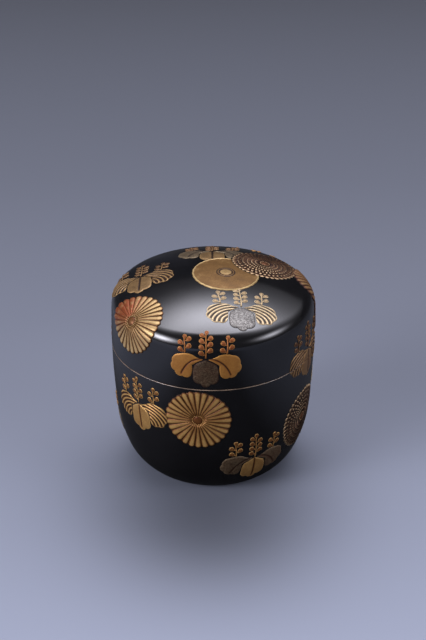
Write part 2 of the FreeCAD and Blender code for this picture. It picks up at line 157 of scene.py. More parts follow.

# Paper sweep, in metres. Stops are (place, brightness), front to back for the painted fall-off of light
# on the paper and left to right for the painted shade that polished pieces see in it.
SWEEP_FRONT = -1.4
SWEEP_BEND = 0.55
SWEEP_RADIUS = 0.5
SWEEP_TOP = 0.75
SWEEP_HALF_WIDTH = 2.5
PAPER_TINT = (1.0, 1.1, 1.37)
PAPER_STOPS = ((0.37, 0.30), (0.41, 0.264), (0.46, 0.219), (0.58, 0.138), (0.69, 0.098), (0.95, 0.032))
PAPER_PER_METRE = 0.8
REFLECTED_SHADE_STOPS = ((0.22, 1.0), (0.36, 0.08), (0.62, 0.04), (0.76, 0.5))
REFLECTED_SHADE_PER_METRE = 2.5
RAMP_MIDDLE = 0.5
# A shadow painted on the paper in front of the foot, deepening the cast one.
SHADOW_FORWARD = 0.056
SHADOW_REACH = 0.039
SHADOW_DEPTH = 0.56

# Camera.
CAMERA_DISTANCE = 0.7
CAMERA_ELEVATION = 29.614
CAMERA_TARGET_HEIGHT = 0.0563

Arc = namedtuple("Arc", "centre radius first last")


def normal_angle(centre, point):
    """The angle of a point seen from a centre, from straight up."""
    return math.atan2(point[0] - centre[0], point[1] - centre[1])


def circles_meet(first, first_radius, second, second_radius):
    """The outer upper crossing of two circles."""
    across = second[0] - first[0]
    up = second[1] - first[1]
    gap = math.hypot(across, up)
    along = (first_radius ** 2 - second_radius ** 2 + gap ** 2) / (2 * gap)
    half = math.sqrt(first_radius ** 2 - along ** 2)
    middle = (first[0] + along * across / gap, first[1] + along * up / gap)
    one = (middle[0] - half * up / gap, middle[1] + half * across / gap)
    other = (middle[0] + half * up / gap, middle[1] - half * across / gap)
    return max(one, other, key=sum)


def turned_form():
    """The tangent arcs of the outer profile, from the apex to the foot."""
    dome = (0.0, OVERALL_HEIGHT - DOME_RADIUS)
    side = (MAX_RADIUS - SIDE_RADIUS, WIDEST_HEIGHT)
    shoulder = circles_meet(dome, DOME_RADIUS - SHOULDER_RADIUS, side, SIDE_RADIUS - SHOULDER_RADIUS)
    dome_end = normal_angle(dome, shoulder)
    shoulder_end = normal_angle(side, shoulder)
    side_end = math.acos((LOWER_START_HEIGHT - WIDEST_HEIGHT) / SIDE_RADIUS)
    reach = SIDE_RADIUS - LOWER_RADIUS
    lower = (side[0] + reach * math.sin(side_end), side[1] + reach * math.cos(side_end))
    lower_end = math.acos((BOTTOM_START_HEIGHT - lower[1]) / LOWER_RADIUS)
    out, up = math.sin(lower_end), math.cos(lower_end)
    start = (lower[0] + LOWER_RADIUS * out, lower[1] + LOWER_RADIUS * up)
    off = (start[0] - FOOT_RADIUS, start[1])
    facing = off[0] * out + off[1] * up
    bottom_radius = (off[0] ** 2 + off[1] ** 2) / (2 * facing)
    bottom = (start[0] - bottom_radius * out, start[1] - bottom_radius * up)
    bottom_end = normal_angle(bottom, (FOOT_RADIUS, 0.0))
    return (Arc(dome, DOME_RADIUS, 0.0, dome_end),
            Arc(shoulder, SHOULDER_RADIUS, dome_end, shoulder_end),
            Arc(side, SIDE_RADIUS, shoulder_end, side_end),
            Arc(lower, LOWER_RADIUS, side_end, lower_end),
            Arc(bottom, bottom_radius, lower_end, bottom_end))


FORM = turned_form()
DOME, SHOULDER, SIDE, LOWER, BOTTOM = FORM
CENTRES = np.array([arc.centre for arc in FORM])
RADII = np.array([arc.radius for arc in FORM])
LAST_ANGLES = np.array([arc.last for arc in FORM])


def side_radius(height, depth=0.0):
    """The radius of the side at a height, offset inwards by a depth."""
    rise = height - SIDE.centre[1]
    return SIDE.centre[0] + math.sqrt((SIDE.radius - depth) ** 2 - rise * rise)


LIP_RADIUS = side_radius(SEAM_HEIGHT, BODY_WALL) + LIP_THICKNESS
LID_BORE = LIP_RADIUS + LID_CLEARANCE


def arc_points(centre, radius, first, last, count):
    """Points of an arc; angles are from straight up, in radians."""
    angles = np.linspace(first, last, count)
    return [(centre[0] + radius * math.sin(a), centre[1] + radius * math.cos(a)) for a in angles]


def quarter(centre, radius, first, last, count=7):
    """Points of a rounded edge; angles are from straight out, in degrees."""
    angles = np.radians(np.linspace(first, last, count))
    return [(centre[0] + radius * math.cos(a), centre[1] + radius * math.sin(a)) for a in angles]


def profile_run(depth, top, bottom, counts=SEEN_COUNTS):
    """Points of the profile, offset inwards, from one height down to another."""
    points = []
    for arc, count in zip(FORM, counts):
        following = arc_points(arc.centre, arc.radius - depth, arc.first, arc.last, count)
        points += following[1:] if points else following
    return [p for p in points if bottom < p[1] < top]


def add_mesh(name, verts, faces):
    """A smooth mesh object with its normals outwards."""
    mesh = bpy.data.meshes.new(name)
    mesh.from_pydata([tuple(v) for v in verts], [], faces)
    mesh.update()
    bm = bmesh.new()
    bm.from_mesh(mesh)
    bmesh.ops.recalc_face_normals(bm, faces=bm.faces)
    bm.to_mesh(mesh)
    bm.free()
    mesh.polygons.foreach_set("use_smooth", [True] * len(mesh.polygons))
    piece = bpy.data.objects.new(name, mesh)
    bpy.context.scene.collection.objects.link(piece)
    return piece


def lathe(name, run, closed=False):
    """Turn a run of (radius, height) points into a mesh; closed joins the last point to the first."""
    verts = []
    rings = []
    for r, z in run:
        if r < 1e-6:
            rings.append([len(verts)])
            verts.append((0.0, 0.0, z * MM))
            continue
        rings.append(list(range(len(verts), len(verts) + LATHE_SEGMENTS)))
        for i in range(LATHE_SEGMENTS):
            a = 2 * math.pi * i / LATHE_SEGMENTS
            verts.append((r * MM * math.cos(a), r * MM * math.sin(a), z * MM))
    faces = []
    pairs = list(zip(rings, rings[1:]))
    if closed:
        pairs.append((rings[-1], rings[0]))
    for one, two in pairs:
        for i in range(LATHE_SEGMENTS):
            j = (i + 1) % LATHE_SEGMENTS
            if len(one) == 1:
                faces.append((one[0], two[i], two[j]))
            elif len(two) == 1:
                faces.append((one[i], two[0], one[j]))
            else:
                faces.append((one[i], two[i], two[j], one[j]))
    return add_mesh(name, verts, faces)


# Each run goes along a coat's face and its back; a hollow is offset into the wood by grow.
def lid_outer_run():
    rim = SEAM_HEIGHT
    edge = side_radius(rim + RIM_ROUNDING) - RIM_ROUNDING
    run = [(0.0, OVERALL_HEIGHT)] + profile_run(0.0, OVERALL_HEIGHT - APEX_GAP, rim + RIM_ROUNDING + EDGE_GAP)
    run += quarter((edge, rim + RIM_ROUNDING), RIM_ROUNDING, 0, -90)
    run.append((side_radius(rim, LACQUER), rim))
    back = profile_run(LACQUER, OVERALL_HEIGHT - LACQUER - APEX_GAP, rim + 2 * EDGE_GAP, HIDDEN_COUNTS)
    return run + back[::-1] + [(0.0, OVERALL_HEIGHT - LACQUER)]


def body_outer_run():
    rim = SEAM_HEIGHT
    edge = side_radius(rim - RIM_ROUNDING) - RIM_ROUNDING
    run = [(side_radius(rim, LACQUER), rim)]
    run += quarter((edge, rim - RIM_ROUNDING), RIM_ROUNDING, 90, 0)
    run += profile_run(0.0, rim - RIM_ROUNDING - EDGE_GAP, LACQUER)
    back = profile_run(LACQUER, rim - EDGE_GAP, LACQUER, HIDDEN_COUNTS)
    return run + back[::-1]


def lid_hollow_run(grow):
    ceiling = DOME_RADIUS - LID_TOP_THICKNESS
    out = LID_BORE - LID_CORNER_RADIUS
    inner = ceiling - LID_CORNER_RADIUS
    corner = (out, DOME.centre[1] + math.sqrt(inner ** 2 - out ** 2))
    lean = normal_angle(DOME.centre, corner)
    run = [(LID_BORE + grow, z) for z in np.linspace(SEAM_HEIGHT + BORE_START, corner[1], num=12)]
    run += arc_points(corner, LID_CORNER_RADIUS + grow, math.pi / 2, lean, count=20)[1:]
    return run + arc_points(DOME.centre, ceiling + grow, lean, 0.0, count=40)[1:]


def lid_lining_run():
    rim = SEAM_HEIGHT
    outer = side_radius(rim, LACQUER)
    run = lid_hollow_run(LACQUER)[::-1]
    run += [(LID_BORE + LACQUER, rim + LACQUER), (outer, rim + LACQUER), (outer, rim)]
    run += quarter((LID_BORE + BORE_ROUNDING, rim + BORE_ROUNDING), BORE_ROUNDING, 270, 180)
    run += lid_hollow_run(0.0)
    run[0] = (0.0, run[0][1])
    run[-1] = (0.0, run[-1][1])
    return run


def body_hollow_run(grow):
    wall = BODY_WALL - grow
    inner = LOWER.radius - BODY_WALL - FLOOR_CORNER_RADIUS
    corner_z = FLOOR_THICKNESS + FLOOR_CORNER_RADIUS
    out = LOWER.centre[0] + math.sqrt(inner ** 2 - (corner_z - LOWER.centre[1]) ** 2)
    lean = normal_angle(LOWER.centre, (out, corner_z))
    seam_angle = math.acos((SEAM_HEIGHT - SIDE.centre[1]) / (SIDE.radius - wall))
    run = arc_points(SIDE.centre, SIDE.radius - wall, seam_angle, SIDE.last, count=40)
    run += arc_points(LOWER.centre, LOWER.radius - wall, LOWER.first, lean, count=30)[1:]
    run += arc_points((out, corner_z), FLOOR_CORNER_RADIUS + grow, lean, math.pi, count=30)[1:]
    floor_start = run[-1][0]
    return run + [(r, FLOOR_THICKNESS - grow) for r in np.linspace(floor_start, 0.0, num=24)[1:]]


def body_lining_run():
    rim = SEAM_HEIGHT
    top = rim + LIP_HEIGHT
    mouth = side_radius(rim, BODY_WALL)
    outer = side_radius(rim, LACQUER)
    run = [(outer, rim - LACQUER), (outer, rim), (LIP_RADIUS + LIP_ROOT, rim), (LIP_RADIUS, rim + LIP_ROOT)]
    run += quarter((LIP_RADIUS - LIP_ROUNDING, top - LIP_ROUNDING), LIP_ROUNDING, 0, 90)
    run += quarter((mouth + LIP_ROUNDING, top - LIP_ROUNDING), LIP_ROUNDING, 90, 180)
    run += body_hollow_run(0.0)
    back = body_hollow_run(LACQUER)
    back = [(back[0][0], top - LACQUER)] + back
    back = [(LIP_RADIUS - LACQUER, rim - LACQUER), (LIP_RADIUS - LACQUER, top - LACQUER)] + back
    run[-1] = (0.0, run[-1][1])
    back[-1] = (0.0, back[-1][1])
    return back[::-1] + run


def base_run():
    ring = FOOT_RADIUS - FOOT_RING_WIDTH

    def underside(lift):
        flat = [(ring + lift, lift), (ring - FOOT_RECESS + lift, FOOT_RECESS + lift)]
        middle = np.linspace(ring - FOOT_RECESS, 0.0, num=16)[1:]
        return flat + [(r, FOOT_RECESS + lift) for r in middle]

    edge = arc_points(BOTTOM.centre, BOTTOM.radius, BOTTOM.first, BOTTOM.last, count=200)
    edge = [p for p in edge if p[1] < LACQUER]
    edge[-1] = (FOOT_RADIUS, 0.0)
    return underside(LACQUER)[::-1] + edge + underside(0.0)


def meridian(distance):
    """Radius, height and normal angle at a distance down the profile from the apex."""
    for arc in FORM:
        length = arc.radius * (arc.last - arc.first)
        if distance <= length or arc is BOTTOM:
            angle = arc.first + distance / arc.radius
            out, up = math.sin(angle), math.cos(angle)
            return arc.centre[0] + arc.radius * out, arc.centre[1] + arc.radius * up, angle
        distance -= length


def seam_distance():
    total = sum(arc.radius * (arc.last - arc.first) for arc in (DOME, SHOULDER))
    return total + SIDE_RADIUS * (math.acos((SEAM_HEIGHT - WIDEST_HEIGHT) / SIDE_RADIUS) - SIDE.first)


def nearest(points):
    """The nearest points of the outer surface, with the normals there."""
    radius = np.hypot(points[:, 0], points[:, 1])
    safe = np.maximum(radius, TINY)
    angles = np.arctan2(radius[:, None] - CENTRES[None, :, 0], points[:, 2:3] - CENTRES[None, :, 1])
    inside = angles <= LAST_ANGLES[None, :]
    inside[:, -1] = True
    which = inside.argmax(axis=1)
    angle = angles[np.arange(len(points)), which]
    nr, nz = np.sin(angle), np.cos(angle)
    r = CENTRES[which, 0] + RADII[which] * nr
    z = CENTRES[which, 1] + RADII[which] * nz
    ox, oy = points[:, 0] / safe, points[:, 1] / safe
    return np.stack([r * ox, r * oy, z], 1), np.stack([nr * ox, nr * oy, nz], 1)


class Anchor:
    """A place on the surface from which a motif's (u, v) points are walked out."""

    def __init__(self, azimuth, from_apex=None, above_seam=None, twist=0.0):
        along = from_apex if from_apex is not None else seam_distance() - above_seam
        r, z, angle = meridian(along)
        turn = math.radians(azimuth)
        out = np.array([math.sin(turn), -math.cos(turn), 0.0])
        self.origin = out * r + np.array([0.0, 0.0, z])
        self.normal = out * math.sin(angle) + np.array([0.0, 0.0, math.cos(angle)])
        right = np.array([math.cos(turn), math.sin(turn), 0.0])
        up = np.cross(self.normal, right)
        lean = math.radians(twist)
        self.right = right * math.cos(lean) + up * math.sin(lean)
        self.up = up * math.cos(lean) - right * math.sin(lean)

    def walk(self, uv):
        """Points and normals reached by going straight over the surface."""
        far = np.hypot(uv[:, 0], uv[:, 1])
        heading = uv[:, :1] * self.right + uv[:, 1:2] * self.up
        heading /= np.maximum(far, TINY)[:, None]
        spot = np.repeat(self.origin[None], len(uv), 0)
        normal = np.repeat(self.normal[None], len(uv), 0)
        for _ in range(WALK_STEPS):
            spot, normal = nearest(spot + heading * (far / WALK_STEPS)[:, None])
            heading = heading - (heading * normal).sum(1, keepdims=True) * normal
            heading /= np.maximum(np.linalg.norm(heading, axis=1, keepdims=True), TINY)
        return spot, normal


def grid_rim(rows, cols):
    """Index pairs round the edge of an open grid."""
    rim = [(0, j) for j in range(cols)] + [(i, cols - 1) for i in range(1, rows)]
    return rim + [(rows - 1, j) for j in range(cols - 2, -1, -1)] + [(i, 0) for i in range(rows - 2, 0, -1)]


class Relief:
    """Collects small raised patches in (u, v, height) and maps them on to the form."""

    def __init__(self):
        self.uv = []
        self.height = []
        # Light per point: the drawn lines, with painted highlights on crowns and painted shade in valleys.
        self.light = []
        self.wear = []
        self.faces = []

    def add(self, u, v, height, light, wear, closed=False):
        """One patch as a grid, walled down into the lacquer; closed joins its last column to the first."""
        rows, cols = u.shape
        base = sum(len(x) for x in self.uv)
        index = base + np.arange(rows * cols).reshape(rows, cols)
        self.uv.append(np.stack([u.ravel(), v.ravel()], 1))
        self.height.append(height.ravel())
        self.light.append(np.broadcast_to(light, u.shape).ravel())
        self.wear.append(np.broadcast_to(wear, u.shape).ravel())
        for i in range(rows - 1):
            for j in range(cols if closed else cols - 1):
                k = (j + 1) % cols
                self.faces.append((index[i, j], index[i, k], index[i + 1, k], index[i + 1, j]))
        if closed:
            self.faces.append(tuple(index[0, ::-1]))
            rim = [(rows - 1, j) for j in range(cols)]
        else:
            rim = grid_rim(rows, cols)
        start = base + rows * cols
        self.uv.append(np.array([[u[i, j], v[i, j]] for i, j in rim]))
        self.height.append(np.full(len(rim), -ROOT_DEPTH))
        self.light.append(np.zeros(len(rim)))
        self.wear.append(np.zeros(len(rim)))
        low = list(range(start, start + len(rim)))
        for n in range(len(rim)):
            m = (n + 1) % len(rim)
            self.faces.append((index[rim[n]], low[n], low[m], index[rim[m]]))
        self.faces.append(tuple(low))

    def build(self, name, anchor, covers):
        """Make the mesh, sunk out of sight where a rosette, given by its anchor, covers it."""
        uv = np.concatenate(self.uv)
        height = np.concatenate(self.height)
        spot, normal = anchor.walk(uv)
        for cover in covers:
            near = np.linalg.norm(spot - cover.origin, axis=1)
            sink = np.clip((ROSETTE_RADIUS + SINK_START - near) / SINK_RUN, 0.0, 1.0)
            height = height * (1 - sink) - SUNK_DEPTH * sink * (height > -ROOT_DEPTH)
            height = np.where(near < ROSETTE_RADIUS + SUNK_MARGIN, np.minimum(height, -SUNK_DEPTH), height)
        verts = (spot + normal * height[:, None]) * MM
        piece = add_mesh(name, verts, self.faces)
        for label, values in (("light", self.light), ("wear", self.wear)):
            layer = piece.data.attributes.new(label, "FLOAT", "POINT")
            layer.data.foreach_set("value", np.concatenate(values).astype(np.float32))
        return piece


def hump(x, middle, width):
    """A smooth bump, 1 at its middle."""
    return np.exp(-((x - middle) / width) ** 2)


def round_angles(count):
    """Even angles round a full turn, as one row."""
    return np.linspace(0, 2 * math.pi, count, endpoint=False)[None, :]


def bead(relief, centre, radius, height, light, wear, rings, spokes):
    """A small rounded bead, painted lighter towards its crown as a highlight."""
    k = np.linspace(0.08, 1.0, rings)[:, None]
    a = round_angles(spokes)
    shape = np.sqrt(np.maximum(0.0, 1 - (0.97 * k) ** 2)) + 0 * a
    u = centre[0] + radius * k * np.cos(a)
    v = centre[1] + radius * k * np.sin(a)
    relief.add(u, v, height * shape, light * (0.25 + 0.75 * shape), wear, closed=True)


def petal(relief, angle, inner, outer, half_angle, low, high, wear, rows=12, cols=9, fill=0.96,
          crescent=False):
    """One petal: a ridge with a round tip; painted highlight on its crown or, with crescent, at its edge."""
    t = np.linspace(0, 1, rows)[:, None]
    s = np.linspace(-1, 1, cols)[None, :]
    tip = 1 - min(0.5, half_angle * outer * 0.8 / (outer - inner))
    bend = np.sin((t - STRAIGHT_ROWS) / (1 - STRAIGHT_ROWS) * math.pi / 2)
    t = np.where(t < STRAIGHT_ROWS, t / STRAIGHT_ROWS * tip, tip + (1 - tip) * bend)
    r = inner + (outer - inner) * t
    round_tip = np.sqrt(np.maximum(0.003, 1 - (np.maximum(0, t - tip) / (1 - tip)) ** 2))
    width = half_angle * fill * np.minimum(r, inner + (outer - inner) * tip) * round_tip
    u = r * math.cos(angle) - s * width * math.sin(angle)
    v = r * math.sin(angle) + s * width * math.cos(angle)
    crown = np.sqrt(np.maximum(0.0, 1 - (0.96 * s) ** 2)) * np.clip(round_tip, 0.35, 1.0)
    height = low + (high - low) * crown * (0.72 + 0.28 * t)
    # Painted highlight: at a crescent's tip and edges, else on the crown, with painted shade on flanks and
    # root.
    if crescent:
        sides = np.clip((t - 0.35) / 0.3, 0.0, 1.0) * s ** 4
        light = np.maximum(hump(t, 1.0, 0.24), sides)
    else:
        light = np.clip((crown - 0.48) * 2.2, 0.0, 1.0) * (1 - ROOT_FADE + ROOT_FADE * t)
    relief.add(u, v, height, light, wear)


def plate(relief, radius, height, light, wear, rings=8, spokes=84):
    """The flat ground under the petals of a rosette, given a low light as painted shade between them."""
    k = np.linspace(0.05, 1.0, rings)[:, None]
    a = round_angles(spokes)
    shape = height * np.minimum(1.0, (1.0 - k) * 12 + 0.35) + 0 * a
    relief.add(radius * k * np.cos(a), radius * k * np.sin(a), shape, light, wear, closed=True)


def boss(relief, radius, height, wear):
    """The round heart of a rosette, ringed by small beads."""
    bead(relief, (0, 0), radius * 0.8, height, light=0.3, wear=wear, rings=8, spokes=28)
    ring = radius * 0.93
    small = radius * 0.15
    for i in range(BEAD_COUNT):
        a = 2 * math.pi * i / BEAD_COUNT
        bead(relief, (ring * math.cos(a), ring * math.sin(a)), small,
             height * 0.8, light=0.8, wear=wear * 0.5, rings=4, spokes=10)


def fluted_rosette(seed, wear=0.1, redder=None):
    """One ring of long petals; redder is the angle, in degrees, of a side that is worn to red."""
    relief = Relief()
    rng = np.random.default_rng(seed)
    radius = ROSETTE_RADIUS
    heart = radius * 0.17
    plate(relief, radius * PLATE_RATIO, height=0.1, light=0.1, wear=wear)
    for i in range(PETAL_COUNT):
        angle = 2 * math.pi * i / PETAL_COUNT
        worn = wear + 0.12 * rng.random()
        if redder is not None:
            worn += 1.2 * max(0.0, math.cos(angle - math.radians(redder))) ** 3
        outer = radius * (0.985 + 0.015 * rng.random())
        petal(relief, angle, heart, outer, math.pi / PETAL_COUNT, low=0.1, high=0.42, wear=worn)
    boss(relief, heart, height=0.5, wear=0.35)
    return relief


def layered_rosette(seed):
    """Rows of short petals that overlap like scales, each row half a step round from the last."""
    relief = Relief()
    rng = np.random.default_rng(seed)
    radius = ROSETTE_RADIUS
    plate(relief, radius * PLATE_RATIO, height=0.06, light=0.0, wear=SCALE_WEAR)
    step = 2 * math.pi / SCALE_COUNT
    for row, reach in enumerate(SCALE_ROWS):
        length = radius * SCALE_LENGTH * reach ** 0.5
        for i in range(SCALE_COUNT):
            angle = step * (i + 0.5 * (row % 2))
            outer = radius * reach * (1 - 0.02 * rng.random())
            worn = SCALE_WEAR + 0.1 * rng.random()
            petal(relief, angle, outer - length, outer, step / 2, low=0.03 + 0.012 * row,
                  high=0.28 + 0.02 * row, wear=worn, rows=10, cols=7, fill=0.92, crescent=True)
    boss(relief, radius * 0.15, height=0.48, wear=0.4)
    return relief


def disc_rosette():
    """A nearly plain gold disc with a painted highlight on its raised rim and a ring about its heart."""
    relief = Relief()
    k = np.concatenate([np.linspace(0.02, 0.9, 42), np.linspace(0.905, 1.0, 18)])[:, None]
    a = round_angles(PETAL_COUNT * 8)
    lobes = 1 - 0.012 * np.abs(np.sin(a * PETAL_COUNT / 2)) ** 3 * (k > 0.88)
    r = ROSETTE_RADIUS * k * lobes
    height = DISC_HEIGHT + 0.14 * hump(k, DISC_RIM, 0.02) + 0 * a
    height = height * np.minimum(1.0, (1.0 - k) * 30 + 0.2)
    light = 0.42 + 0.3 * hump(k, DISC_RING, 0.02) + 0.25 * (k < DISC_HEART + 0.01) + 0 * a
    for groove in DISC_GROOVES:
        height = height - 0.1 * hump(k, groove, 0.012)
        light = light - 0.9 * hump(k, groove, 0.018)
    height = height + 0.12 * hump(k, DISC_RING, 0.02) + 0.1 * np.maximum(0, 1 - (k / DISC_HEART) ** 2)
    # Painted highlight along the rim.
    light = light + 0.7 * hump(k, DISC_RIM + 0.005, 0.02)
    relief.add(r * np.cos(a), r * np.sin(a), height, light, wear=0.05, closed=True)
    return relief


def bow_points(first, last, bow, count):
    """Points along an arc, without the first; bow is the rise over half the chord, to the right."""
    first = np.array(first, float)
    last = np.array(last, float)
    chord = last - first
    length = np.linalg.norm(chord)
    rise = bow * length / 2
    radius = (length ** 2 / 4 + rise ** 2) / (2 * abs(rise))
    right = np.array([chord[1], -chord[0]]) / length
    centre = (first + last) / 2 - right * math.copysign(radius - abs(rise), bow)
    a = math.atan2(*(first - centre)[::-1])
    b = math.atan2(*(last - centre)[::-1])
    turn = (b - a + math.pi) % (2 * math.pi) - math.pi
    angles = a + turn * np.linspace(0, 1, count + 1)[1:]
    return centre + radius * np.stack([np.cos(angles), np.sin(angles)], 1)


def outline(corners, count=18):
    """A closed outline of arcs through corners (u, v, bow of the arc that follows)."""
    points = []
    for (u, v, bow), following in zip(corners, corners[1:] + corners[:1]):
        points.append(bow_points((u, v), following[:2], bow, count))
    return np.concatenate(points)


def centre_leaf():
    half = LEAF_WIDTH / 2
    long = LEAF_LENGTH
    left = [(-0.86 * half, -0.23 * long, 0.15), (-half, -0.65 * long, 0.55)]
    tip = [(-0.38 * half, -0.92 * long, 0.75), (0.38 * half, -0.92 * long, 0.55)]
    right = [(half, -0.65 * long, 0.15), (0.86 * half, -0.23 * long, 0.06)]
    return outline([(0.0, -0.4, 0.06)] + left + tip + right)


def side_leaf():
    """The right leaf, spread to the side, with lobes along its lower edge."""
    wide = SPRIG_HALF_WIDTH
    drop = SIDE_LEAF_DROP
    inner = LEAF_WIDTH / 2 + RESERVE_LINE
    stalk = [(0.9, -0.3, -0.04), (inner + 0.1, -0.36 * drop, 0.1)]
    lobes = [(inner + 0.4, -0.88 * drop, 0.5), (0.68 * wide, -drop, 0.5), (0.91 * wide, -0.78 * drop, 0.5)]
    outer = [(wide, -0.32 * drop, 0.45), (0.77 * wide, 0.15 * drop, 0.2), (0.38 * wide, 0.17 * drop, -0.1)]
    return outline(stalk + lobes + outer)


def curve_points(first, control, last, count=24):
    """Points of a curve pulled towards one control point."""
    t = np.linspace(0, 1, count)[:, None]
    p = [np.array(x, float) for x in (first, control, last)]
    return (1 - t) ** 2 * p[0] + 2 * t * (1 - t) * p[1] + t ** 2 * p[2]


def distance_to(curve, u, v):
    """How far each point of a grid lies from a curve."""
    points = np.stack([u.ravel(), v.ravel()], 1)
    best = np.full(len(points), np.inf)
    for p, q in zip(curve[:-1], curve[1:]):
        d = q - p
        t = np.clip(((points - p) @ d) / (d @ d), 0, 1)
        best = np.minimum(best, np.linalg.norm(points - (p + t[:, None] * d), axis=1))
    return best.reshape(u.shape)


def lined_surface(u, v, k, edge):
    """Height and light of raised curved lines inside a raised border."""
    far = np.hypot((u - LINE_CENTRE[0]) / LINE_STRETCH, v - LINE_CENTRE[1])
    wave = 0.5 + 0.5 * np.cos(2 * math.pi * far / LINE_SPACING)
    line = np.maximum(np.clip(wave * 2.2 - 0.75, 0, 1), hump(k, 1.0, 0.045))
    return (LINE_FLOOR + LINE_HEIGHT * line) * np.clip(edge * 1.4, 0, 1), line


def pad_surface(u, v, k, edge, veins):
    """Height and light of a crowned pad with sunk veins."""
    height = (PAD_HEIGHT + PAD_CROWN * (1 - k ** 3)) * edge
    light = 0.72 + 0.3 * hump(k, 1.0, 0.07) + 0 * u
    for vein in veins:
        groove = hump(distance_to(curve_points(*vein), u, v), 0.0, VEIN_WIDTH)
        height = height - VEIN_DEPTH * groove * edge
        light = light - 0.85 * groove
    return height, light


def leaf(relief, points, heart, veins, style, wear, mirror, rings=30):
    """A leaf: lined, plain with a dark edge, or a pad with veins."""
    k = np.linspace(0.03, 1.0, rings)[:, None] ** 0.85
    u = heart[0] + k * (points[None, :, 0] - heart[0])
    v = heart[1] + k * (points[None, :, 1] - heart[1])
    edge = np.sqrt(np.clip((1 - k) * 9, 0.03, 1.0)) + 0 * u
    if style == "lined":
        height, light = lined_surface(u, v, k, edge)
    elif style == "plain":
        height, light = pad_surface(u, v, k, edge, ())
        light = 0.75 * light * (1 - hump(k, 1.0, 0.06))
    else:
        height, light = pad_surface(u, v, k, edge, veins)
    relief.add(u * mirror, v, height, np.clip(light, 0, 1), wear, closed=True)


def stem(relief, curve, width, height, light, wear):
    """A thin rounded stalk along a run of points, with a painted highlight along its crown."""
    tangent = np.gradient(curve, axis=0)
    tangent /= np.linalg.norm(tangent, axis=1, keepdims=True)
    s = np.linspace(-1, 1, 5)[None, :]
    taper = np.linspace(1.0, 0.6, len(curve))[:, None]
    u = curve[:, :1] + tangent[:, 1:2] * s * width / 2 * taper
    v = curve[:, 1:2] - tangent[:, :1] * s * width / 2 * taper
    crown = np.sqrt(1 - (0.95 * s) ** 2) + 0 * u
    relief.add(u, v, height * crown, light * crown, wear)


def spray(relief, rng, base, lean, length, buds, wear):
    """A flower stem with round buds at alternate sides and one at the tip."""
    tilt = math.radians(lean)
    along = np.array([math.sin(tilt), math.cos(tilt)])
    side = np.array([math.cos(tilt), -math.sin(tilt)])
    base = np.array(base)
    steps = np.linspace(0, 1, 14)
    curve = np.array([base + along * length * t + side * STEM_SWAY * math.sin(t * 5) for t in steps])
    stem(relief, curve, width=0.62, height=0.26, light=0.9, wear=wear)
    lowest = 0.2 * length
    spacing = (0.93 * length - lowest) / (buds - 1)
    for i in range(buds):
        hand = 1 if i % 2 else -1
        size = BUD_SIZE - 0.1 * i / buds + 0.08 * rng.random()
        root = base + along * (lowest + i * spacing - STALK_RISE)
        spot = base + along * (lowest + i * spacing) + side * hand * BUD_OFFSET
        stalk = np.array([root + (spot - root) * t for t in np.linspace(0, 0.55, 4)])
        stem(relief, stalk, width=0.4, height=0.2, light=0.7, wear=wear)
        bud(relief, spot, size, -tilt - hand * BUD_TURN, wear)
    bud(relief, base + along * (length + 0.5), 1.0, -tilt, wear)


def bud(relief, spot, size, turn, wear):
    """A drop-shaped bud, narrow at its root, with a sunk line inside its edge."""
    k = np.concatenate([np.linspace(0.06, 0.62, 5), np.linspace(0.68, 1.0, 6)])[:, None]
    a = round_angles(18)
    y = size * k * np.sin(a)
    x = size * 0.74 * k * np.cos(a) * (1 + 0.34 * np.sin(a))
    u = spot[0] + x * math.cos(turn) - y * math.sin(turn)
    v = spot[1] + x * math.sin(turn) + y * math.cos(turn)
    ring = hump(k, 0.7, 0.08) + 0 * a
    rim = hump(k, 0.88, 0.1) + 0 * a
    height = BUD_HEIGHT * np.sqrt(np.maximum(0.02, 1 - (0.96 * k) ** 2)) - 0.07 * ring
    light = np.clip(0.45 + 0.6 * rim - 0.45 * ring, 0, 1)
    relief.add(u, v, height, light, wear * (1.3 - rim), closed=True)


def sprig_parts(seed, styles, wear, bud_wear):
    """Relief sets of one sprig, by metal."""
    rng = np.random.default_rng(seed)
    sets = {"gold": Relief(), "silver": Relief()}
    shapes = {"centre": (centre_leaf(), CENTRE_HEART, CENTRE_VEINS, 1.0),
              "right": (side_leaf(), SIDE_HEART, SIDE_VEINS, 1.0),
              "left": (side_leaf(), SIDE_HEART, SIDE_VEINS, -1.0)}
    for name, (points, heart, veins, mirror) in shapes.items():
        style = styles.get(name, "solid")
        metal = "silver" if style in ("silver", "plain") else "gold"
        leaf(sets[metal], points, heart, veins, style, wear * (0.6 + 0.8 * rng.random()), mirror)
    gold = sets["gold"]
    spray(gold, rng, (0.0, RESERVE_LINE), 0.0, MAIN_SPRAY_LENGTH, MAIN_BUD_COUNT, bud_wear)
    base = 0.23 * SIDE_LEAF_DROP + RESERVE_LINE
    for hand in (-1, 1):
        spray(gold, rng, (hand * SIDE_SPRAY_OFFSET, base), hand * SIDE_SPRAY_LEAN,
              SIDE_SPRAY_LENGTH, SIDE_BUD_COUNT, bud_wear)
    return sets


def trim_at_seam(piece, half):
    """Cut a motif that crosses the seam and close the cut."""
    height = SEAM_HEIGHT + (RIM_ROUNDING if half == "lid" else -RIM_ROUNDING)
    bm = bmesh.new()
    bm.from_mesh(piece.data)
    everything = bm.verts[:] + bm.edges[:] + bm.faces[:]
    bmesh.ops.bisect_plane(bm, geom=everything, plane_co=(0, 0, height * MM), plane_no=(0, 0, 1),
                           clear_outer=half == "body", clear_inner=half == "lid", dist=1e-8)
    open_edges = [e for e in bm.edges if e.is_boundary]
    bmesh.ops.holes_fill(bm, edges=open_edges, sides=0)
    bm.to_mesh(piece.data)
    bm.free()


